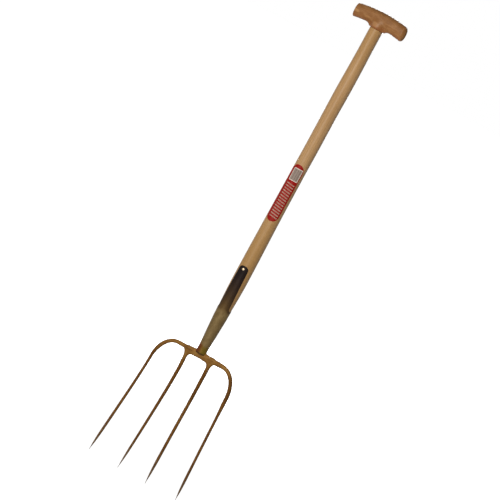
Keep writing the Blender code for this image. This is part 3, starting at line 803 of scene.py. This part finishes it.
def socketHalf(side):
    # front (-1) or back (1) half: rings run over the outside from edge to edge and back inside
    p = socketPlan
    notch, strapHalf = p["notch"], p["strapHalfWidth"]
    roundCentre = p["strapTop"] - strapHalf
    quarter = quarterTurn(34)[1:]
    topPower = 2 / p["strapPower"]
    lead = 1.2  # the rings close up this far below the notch
    h = np.concatenate([
        p["foot"] + p["footRound"] * (1 - np.cos(quarterTurn(8))),
        np.linspace(p["foot"] + p["footRound"], notch - lead, 84)[1:],
        notch - lead * (1 - np.linspace(0, 1, 9)[1:]) ** 1.5,
        notch + p["notchRound"] * (1 - np.cos(quarter)),
        np.linspace(notch + p["notchRound"], roundCentre, 70)[1:],
        roundCentre + strapHalf * np.sin(quarter) ** p["strapPower"],
    ])
    radius = socketRadius(h)
    # the strap's half width: straight sides that taper upwards, then a superelliptic top
    share = np.clip((roundCentre - h) / (roundCentre - notch), 0, 1)
    straight = mix(strapHalf, p["strapFootHalfWidth"], share)
    rise = np.clip((h - roundCentre) / strapHalf, 0, 1)
    top = strapHalf * np.maximum(1 - rise**topPower, 1e-6) ** (1 / topPower)
    half = np.where(h > roundCentre, top, straight)
    # the gap between the straps has a rounded foot: a quarter of a superellipse on each side
    corner = 1 - np.clip((h - notch) / p["notchRound"], 0, 1)
    opened = (1 - corner ** p["notchPower"]) ** (1 / p["notchPower"])
    gap = (math.pi / 2 - np.arcsin(np.clip(half / radius, 0, 1))) * np.where(h > notch, opened, 0)
    reach = math.pi / 2 - gap
    hh, rr, far = h[:, None], radius[:, None], reach[:, None]
    angle = far * np.sin(np.linspace(-math.pi / 2, math.pi / 2, 81))
    # how far each point is from the nearest edge, for the rounding
    x = rr * np.sin(angle)
    outTo = np.abs(x) ** topPower + np.clip(hh - roundCentre, 0, None) ** topPower
    fromTop = strapHalf - outTo ** (1 / topPower)
    steepness = np.gradient(reach * radius, h)
    fromSide = (far - np.abs(angle)) * rr / np.sqrt(1 + steepness[:, None] ** 2)
    toSeam = (math.pi / 2 - np.abs(angle)) * rr
    fromNotch = np.hypot(notch - hh, np.maximum(toSeam - p["notchFlat"], 0))
    distance = np.where(hh > roundCentre, fromTop, np.where(hh > notch, fromSide, fromNotch))
    drop = roundedDrop(distance, p["edge"]) + roundedDrop(hh - p["foot"], p["footRound"])
    dents = sum(deep * np.sin(hh / long + turn * angle) for deep, long, turn in p["dents"])
    outer = rr - drop + dents * ramp(distance, 1, 5) * np.cos(angle) ** 2
    inner = np.where(h < p["floor"], 0.4, radius - p["wall"])
    inner = np.broadcast_to(inner[:, None], (len(h), 17))
    r = np.concatenate([outer, inner], axis=1)
    t = np.concatenate([angle, far * np.linspace(1, -1, 17)], axis=1)
    z = np.broadcast_to(hh, r.shape)
    return twisted(joined(r * np.sin(t), side * r * np.cos(t), z))


def rivetHead(side):
    # a low dome turned about Y, its rim tucked under
    p = socketPlan
    base = float(socketRadius(p["rivetHeight"]))
    t = quarterTurn(14)
    radii = np.concatenate([[p["rivetRadius"] * 0.9], p["rivetRadius"] * np.cos(t) + 0.02])[:, None]
    out = np.concatenate([[-0.8], 0.15 + p["rivetDome"] * np.sin(t) ** 1.15])[:, None]
    a = fullTurn(40)
    # hammered a little out of round
    uneven = 1 + 0.02 * np.sin(3 * a) + 0.015 * np.sin(5 * a + 1)
    x = radii * np.cos(a) * uneven
    z = p["rivetHeight"] + radii * np.sin(a) * uneven
    # the rim follows the strap's curve
    sag = 0.5 * x**2 / base * radii / p["rivetRadius"]
    return twisted(joined(x, side * (base + out - sag), z))


def shaftSurface():
    # turned from inside the socket up to the seam, with its top edge broken
    p = shaftPlan
    top = p["seam"] - p["gap"] / 2
    straightTop = top - p["topRound"]
    rise = np.sin(quarterTurn(6)[1:])
    low, high = np.linspace(p["foot"], 620, 90), np.linspace(625, straightTop, 110)
    h = np.concatenate([low, high, straightTop + p["topRound"] * rise])
    room = socketRadius(h) - socketPlan["proud"] - p["play"]
    r = np.minimum(shaftRadius(h), np.where(h < p["inSocketTo"], room, np.inf))
    return turned(r - roundedDrop(top - h, p["topRound"]), h, 96)


# Grip

gripPlan = dict(
    halfLength=67.6,
    shift=0.2,  # the right arm is a little longer and thicker and stands higher
    centre=1178.4,
    droop=6.4,
    tilt=-0.004,
    halfHeight=17.6,
    endHalfHeight=17.4,
    endSkew=0.6,
    endDome={1: 3.8, -1: 2.2},
    halfDepth=13.6,
    endHalfDepth=12.8,
    sectionPower=2.25,
    endRounding={1: 4, -1: 1.8},
    neckRadius=15.9,
    neckFlare=1.3,
    neckTop=-6,  # against the arms' centre line
    neckRounding=9,
    flareHeight=10,
    blend=17,
    facing=(3, 12),  # mm forwards or back over which the hollows come in
    hollow=1.5,  # depth of the hollows beside the knuckle
    hollowAt=(18.5, 1165),
    hollowSpread=6,
    seamRound=0.8,
    roughArm=(15, 13.5),
    roughNeck=((16.2, 16.6, 15), (1154.2, 1160, 1180)),
    voxel=0.9,
    passes=10,
)


def roundedBoth(a, b, radius):
    # inside both, with a round edge: the largest of two distances, rounded where they meet
    outside = np.hypot(np.maximum(a + radius, 0), np.maximum(b + radius, 0)) - radius
    return np.minimum(np.maximum(a + radius, b + radius), 0) + outside


def softUnion(a, b, width):
    # the smaller of two distances, eased together where they are within the width
    h = np.maximum(width - np.abs(a - b), 0) / width
    return np.minimum(a, b) - h * h * width / 4


def gripField(spots):
    # distance to the T: a drooping rounded bar joined to a turned neck, cut off at the seam
    p = gripPlan
    x, y, z = spots.T
    out, half = np.abs(x - p["shift"]), p["halfLength"]
    along = out / half
    centre = p["centre"] - p["droop"] * along**2 - p["tilt"] * x
    tall = mix(p["halfHeight"], p["endHalfHeight"], along) + p["endSkew"] * x / half
    deep = mix(p["halfDepth"], p["endHalfDepth"], along)
    n = p["sectionPower"]
    section = ((np.abs(y) / deep) ** n + (np.abs(z - centre) / tall) ** n) ** (1 / n)
    dome, rounding = (np.where(x > 0, p[key][1], p[key][-1]) for key in ("endDome", "endRounding"))
    end = out - half + dome * np.minimum(section, 1) ** 2
    arm = roundedBoth((section - 1) * deep, end, rounding)
    rise = np.clip((z - shaftPlan["seam"]) / p["flareHeight"], 0, 1)
    neck = np.hypot(x, y) - p["neckRadius"] - p["neckFlare"] * rise * (1 - rise) * 2
    neck = roundedBoth(neck, z - p["centre"] - p["neckTop"], p["neckRounding"])
    # on the front and back there are hollows, and the joint is tighter than below the arms
    facing = ramp(np.abs(y), *p["facing"])
    hx, hz = p["hollowAt"]
    hollow = bump(np.abs(x), hx, p["hollowSpread"]) * bump(z, hz, p["hollowSpread"]) * facing
    body = softUnion(arm, neck, p["blend"] * (1 - 0.5 * facing)) + p["hollow"] * hollow
    seam = shaftPlan["seam"] + shaftPlan["gap"] / 2 - z
    return roundedBoth(body, seam, p["seamRound"])


def gripMesh():
    # a voxel remesh joins two rough rods, then every point is moved onto the field's zero
    p = gripPlan
    half = p["halfLength"]
    x = np.linspace(1 - half, half - 1, 60) + p["shift"]
    line = p["centre"] - p["droop"] * (x / half) ** 2 - p["tilt"] * x
    wide, deep = (0 * x + size for size in p["roughArm"])
    armRod = framedSweep(joined(x, 0 * x, line), wide, deep, 32)
    neckRod = turned(*p["roughNeck"], 48)
    holder = newObject("gripRough", closedMesh("gripRough", [armRod, neckRod]))
    remesh = holder.modifiers.new("join", "REMESH")
    remesh.mode = "VOXEL"
    remesh.voxel_size = p["voxel"]
    graph = bpy.context.evaluated_depsgraph_get()
    mesh = bpy.data.meshes.new_from_object(holder.evaluated_get(graph))
    bpy.data.objects.remove(holder, do_unlink=True)
    spots = vertexSpots(mesh)
    ends = np.empty(len(mesh.edges) * 2, dtype=np.int32)
    mesh.edges.foreach_get("vertices", ends)
    ends = ends.reshape(-1, 2)
    count = np.bincount(ends.ravel(), minlength=len(spots))[:, None]
    nudge = 0.01
    for smoothing in range(p["passes"]):
        # towards its neighbours' mean, then down the field's slope onto the surface
        total = np.zeros_like(spots)
        np.add.at(total, ends[:, 0], spots[ends[:, 1]])
        np.add.at(total, ends[:, 1], spots[ends[:, 0]])
        spots = spots + (total / count - spots) * 0.5
        for settling in range(4):
            rises = [gripField(spots + d) - gripField(spots - d) for d in np.eye(3) * nudge]
            slope = joined(*rises) / (2 * nudge)
            steepness = np.maximum((slope**2).sum(axis=1), 0.05)
            spots = spots - slope * (gripField(spots) / steepness)[:, None]
    mesh.vertices.foreach_set("co", spots.ravel())
    mesh.update()
    return mesh


pinPlan = dict(radius=2, height=1162, dome=0.3)


def pinEnd():
    # the end of the pin behind the neck: a small low dome, almost flush with the wood
    p = pinPlan
    t = quarterTurn(8)
    radii = np.concatenate([[p["radius"]], p["radius"] * np.cos(t) + 0.01])
    # the wood's surface is where the grip's field crosses zero behind the pin
    behind = np.linspace(10, 24, 141)
    field = gripField(joined(0 * behind, behind, 0 * behind + p["height"]))
    back = np.interp(0, field, behind)
    out = np.concatenate([[back - 3], back + p["dome"] * np.sin(t)])
    return turned(radii, out, 28)[..., [0, 2, 1]] + [0, 0, p["height"]]


# Label and sticker

labelPlan = dict(
    middle=731.2,
    halfHeight=72,
    halfArc=16.4,
    corner=16.4,
    rings=(26, 50),  # round each end, and between the ends
    offset=0.7,  # to the right round the shaft
    lift=0.22,
    barSpan=(669.5, 758),
    barPitch=6.43,
    barShare=0.45,
    barSlant=0.15,
    barReach=10,
    barOffset=2.2,
    grainSize=3.8462,
    reds=[(0.3, "8a120b"), (0.7, "981a11")],
    ink="b9a690",
)
stickerPlan = dict(
    middle=778.6,
    halfHeight=15.6,
    halfArc=11.1,
    corner=1.5,
    rings=(10, 24),
    offset=3.3,
    lift=0.4,
    margin=1.8,
    linePitch=5.2,
    lineShare=0.4,
    fibreSize=1.1111,
    whites=[(0.3, "d0c4b3"), (0.7, "e0d6c6")],
    beiges=[(0.3, "857468"), (0.7, "998779")],
    line=("6b5a52", 0.6),
)
sheetUnit = 100.0  # mm for each unit of the sheets' UV maps, across and up the shaft


def redFilm():
    # semi-gloss adhesive film, plain red with a row of plain slanting bars
    p = labelPlan
    material, add, coords = newMaterial("redFilm", {"Specular IOR Level": 0.1, "Roughness": 0.42})
    place = add("UVMap", {"uv_map": "UVMap"}, ())
    arc = measured(add, place, "X", sheetUnit, -p["barOffset"])
    along = measured(add, place, "Y", sheetUnit)
    slant = add("Math", scaledPlus, (arc, p["barSlant"], along))
    foot, top = p["barSpan"]
    cell = add("Math", scaledPlus, (slant, 1 / p["barPitch"], -foot / p["barPitch"]))
    cell = add("Math", fraction, (cell,))
    bars = add("Math", lessThan, (cell, p["barShare"]))
    off = add("Math", minus, (slant, (foot + top) / 2))
    off = add("Math", absolute, (off,))
    reach = add("Math", absolute, (arc,))
    for far, limit in ((off, (top - foot) / 2), (reach, p["barReach"])):
        bars = add("Math", times, (bars, add("Math", lessThan, (far, limit))))
    grain = mottled(add, coords, (p["grainSize"],) * 3)
    red = add("ValToRGB", {"stops": p["reds"]}, (grain,))
    # the print is thin, more so in the bars' middles, and some red comes through it
    for thinned in (limits(grain, (0.35, 0.6), 0.4, 0.8), limits(reach, (1, 7), 0.6)):
        bars = add("Math", times, (bars, add("MapRange", eased, thinned)))
    colour = add("MixRGB", {}, {"Fac": bars, "Color1": red, "Color2": p["ink"]})
    return finish(material, add, colour, grain, (0.05, 0.3))


def palePaper():
    # matte paper sticker: a pale margin round a beige field with faint ruled lines
    p = stickerPlan
    material, add, coords = newMaterial("palePaper", {"Specular IOR Level": 0.25, "Roughness": 0.6})
    place = add("UVMap", {"uv_map": "UVMap"}, ())
    arc = measured(add, place, "X", sheetUnit)
    along = measured(add, place, "Y", sheetUnit, -p["middle"])
    line = add("Math", times, (arc, 1 / p["linePitch"]))
    line = add("Math", fraction, (line,))
    line = add("Math", lessThan, (line, p["lineShare"]))
    reach, rise = (add("Math", absolute, (value,)) for value in (arc, along))
    inside = add("Math", lessThan, (reach, p["halfArc"] - p["margin"]))
    level = add("Math", lessThan, (rise, p["halfHeight"] - p["margin"]))
    inside = add("Math", times, (inside, level))
    fibres = mottled(add, coords, (p["fibreSize"],) * 3, 3.0, 0.7)
    white, beige = (add("ValToRGB", {"stops": p[key]}, (fibres,)) for key in ("whites", "beiges"))
    field = covered(add, beige, line, *p["line"])
    colour = add("MixRGB", {}, {"Fac": inside, "Color1": white, "Color2": field})
    return finish(material, add, colour, fibres, (0.06, 0.3))


def wrappedSheet(p):
    # a rectangle with round corners, bent round the front of the shaft: rings cross it from
    # side to side and come back under it, inside the wood
    corner, straight = p["corner"], p["halfHeight"] - p["corner"]
    low, high = p["middle"] - straight, p["middle"] + straight
    ends = corner * np.cos(np.linspace(0.02, math.pi / 2, p["rings"][0]))
    sides = np.linspace(low, high, p["rings"][1])[1:-1]
    h = np.concatenate([low - ends, sides, high + ends[::-1]])
    beyond = np.maximum(np.abs(h - p["middle"]) - straight, 0)
    half = p["halfArc"] - corner + np.sqrt(np.maximum(corner**2 - beyond**2, 0.01))
    arc = half[:, None] * np.sin(np.linspace(-math.pi / 2, math.pi / 2, 41))
    inner = half[:, None] * np.linspace(1, -1, 9)
    fromEdge = corner - np.hypot(np.maximum(np.abs(arc) - p["halfArc"] + corner, 0), beyond[:, None])
    base = shaftRadius(h)[:, None]
    rim, sunk = 0.3, 0.15  # mm: how wide its edge is rounded, and how far that ends in the wood
    outer = base + p["lift"] - roundedDrop(fromEdge, rim) * (p["lift"] + sunk) / rim
    r = np.concatenate([outer, np.broadcast_to(base - 0.5, inner.shape)], axis=1)
    arcs = np.concatenate([arc, inner], axis=1)
    t = (arcs + p["offset"]) / base
    z = np.broadcast_to(h[:, None], r.shape)
    uv = joined(arcs, z).reshape(-1, 2) / sheetUnit
    return joined(r * np.sin(t), -r * np.cos(t), z), uv


# Pieces

goldSteel = lacqueredSteel()
paleSteel = brightSteel()
headShells = [outerLoop(), innerTine(1), innerTine(-1)]
addPiece("fork_head_forging", headShells, goldSteel, "fork_head")
addPiece("weld_bead", [weldBead()], goldSteel)
addPiece("socket_forging", [socketHalf(-1), socketHalf(1)], socketSteel(), "socket")
addPiece("rivet_heads", [rivetHead(-1), rivetHead(1)], paleSteel, "rivet")
addPiece("shaft_wood", [shaftSurface()], turnedAsh(), "shaft")
addPiece("grip_wood", gripMesh(), stainedAsh(), "grip")
addPiece("grip_pin_end", [pinEnd()], paleSteel, "grip_pin")
shell, uv = wrappedSheet(labelPlan)
addPiece("label_film", [shell], redFilm(), "label", uv)
shell, uv = wrappedSheet(stickerPlan)
addPiece("sticker_paper", [shell], palePaper(), "price_sticker", uv)
print("pieces done")


# Floor, backdrop and light

stagePlan = dict(
    floorDrop=8,  # mm below the points
    floorRadius=30,  # m
    floorSides=96,
    floorColour="e6e6e6",
    floorOwn=0.66,  # white of the floor's own that the camera and reflections see
    litRadius=1.5,
    farRadius=5,
    ambient=0.08,
)


def whiteRays(add):
    # 1 for camera, glossy and transmission rays
    kinds = ("Is Camera Ray", "Is Glossy Ray", "Is Transmission Ray")
    camera, glossy, through = (add("LightPath", {}, (), kind) for kind in kinds)
    return add("Math", largest, (add("Math", largest, (camera, glossy)), through))


def makeFloor():
    # pale and matt, with a white of its own only for what looks at it, so a soft shadow stays
    p = stagePlan
    material = bpy.data.materials.new("whiteFloor")
    add = emptied(material)
    plain = add("BsdfDiffuse", {}, {"Color": p["floorColour"]})
    # further off, where the lamps don't reach, more of the white is its own
    away = add("VectorMath", {"operation": "LENGTH"}, (add("TexCoord", {}, (), "Object"),), "Value")
    further = add("MapRange", eased, limits(away, (p["litRadius"], p["farRadius"]), p["floorOwn"]))
    own = add("Math", times, (whiteRays(add), further))
    glow = add("Emission", {}, {"Color": "ffffff", "Strength": own})
    add("OutputMaterial", {}, {"Surface": add("AddShader", {}, (plain, glow))})
    level = -(hangHeight + p["floorDrop"]) * mm
    rim = turned([p["floorRadius"]], [level], p["floorSides"])[0]
    mesh = bpy.data.meshes.new("floor")
    mesh.from_pydata(rim.tolist(), [], [list(range(len(rim)))])
    mesh.materials.append(material)
    newObject("floor", mesh)


def makeWorld():
    # white to look at and in reflections, softer as light
    world = bpy.data.worlds.new("studio")
    bpy.context.scene.world = world
    add = emptied(world)
    white = add("Background", {}, {"Color": "ffffff", "Strength": 1.0})
    soft = add("Background", {}, {"Color": "ffffff", "Strength": stagePlan["ambient"]})
    mixed = add("MixShader", {}, (whiteRays(add), soft, white))
    add("OutputWorld", {}, {"Surface": mixed})


lamps = {
    # azimuth and elevation in degrees, distance, width and height in m, watts
    "key": (1, 18, 4, 0.8, 2.2, 126),
    "back": (199, 15, 4, 1.1, 2.2, 80),
}
lampAim = Vector((0, 0, -0.6))


def directionFrom(azimuth, elevation):
    # azimuth 0 looks from the front, 90 from the right
    a, e = math.radians(azimuth), math.radians(elevation)
    return Vector((math.sin(a) * math.cos(e), -math.cos(a) * math.cos(e), math.sin(e)))


def addLamp(name, azimuth, elevation, distance, width, tall, watts):
    lamp = bpy.data.lights.new(name, "AREA")
    lamp.shape = "RECTANGLE"
    lamp.size = width
    lamp.size_y = tall
    lamp.energy = watts
    holder = newObject(name, lamp)
    away = directionFrom(azimuth, elevation)
    holder.location = lampAim + away * distance
    holder.rotation_euler = away.to_track_quat("Z", "Y").to_euler()
    holder.visible_camera = False


makeFloor()
makeWorld()
for lampName, lampPlan in lamps.items():
    addLamp(lampName, *lampPlan)


# Camera: far off and slightly above, to the fork's right, turned so that the shaft leans

cameraPlan = dict(
    azimuth=19.032,
    elevation=4.074,
    distance=14,
    roll=28.387,
    aimHeight=-0.5754,
    sidestep=-0.015107,
    sensor=36,  # mm
    focalPixels=6176.6,
    pictureWidth=500,
)


def addCamera():
    p = cameraPlan
    back = directionFrom(p["azimuth"], p["elevation"])
    level = directionFrom(p["azimuth"] + 90, 0)
    upright = back.cross(level)
    roll = math.radians(p["roll"])
    right = level * math.cos(roll) + upright * math.sin(roll)
    up = upright * math.cos(roll) - level * math.sin(roll)
    aim = Vector((0, 0, p["aimHeight"]))
    data = bpy.data.cameras.new("camera")
    data.sensor_width = p["sensor"]
    data.lens = p["sensor"] * p["focalPixels"] / p["pictureWidth"]
    data.clip_start, data.clip_end = 0.05, 100
    camera = newObject("camera", data)
    camera.matrix_world = Matrix((right, up, back)).transposed().to_4x4()
    camera.location = aim + back * p["distance"] + right * p["sidestep"]
    bpy.context.scene.camera = camera


addCamera()
bpy.context.scene.view_settings.view_transform = "Standard"
print("camera and light done")
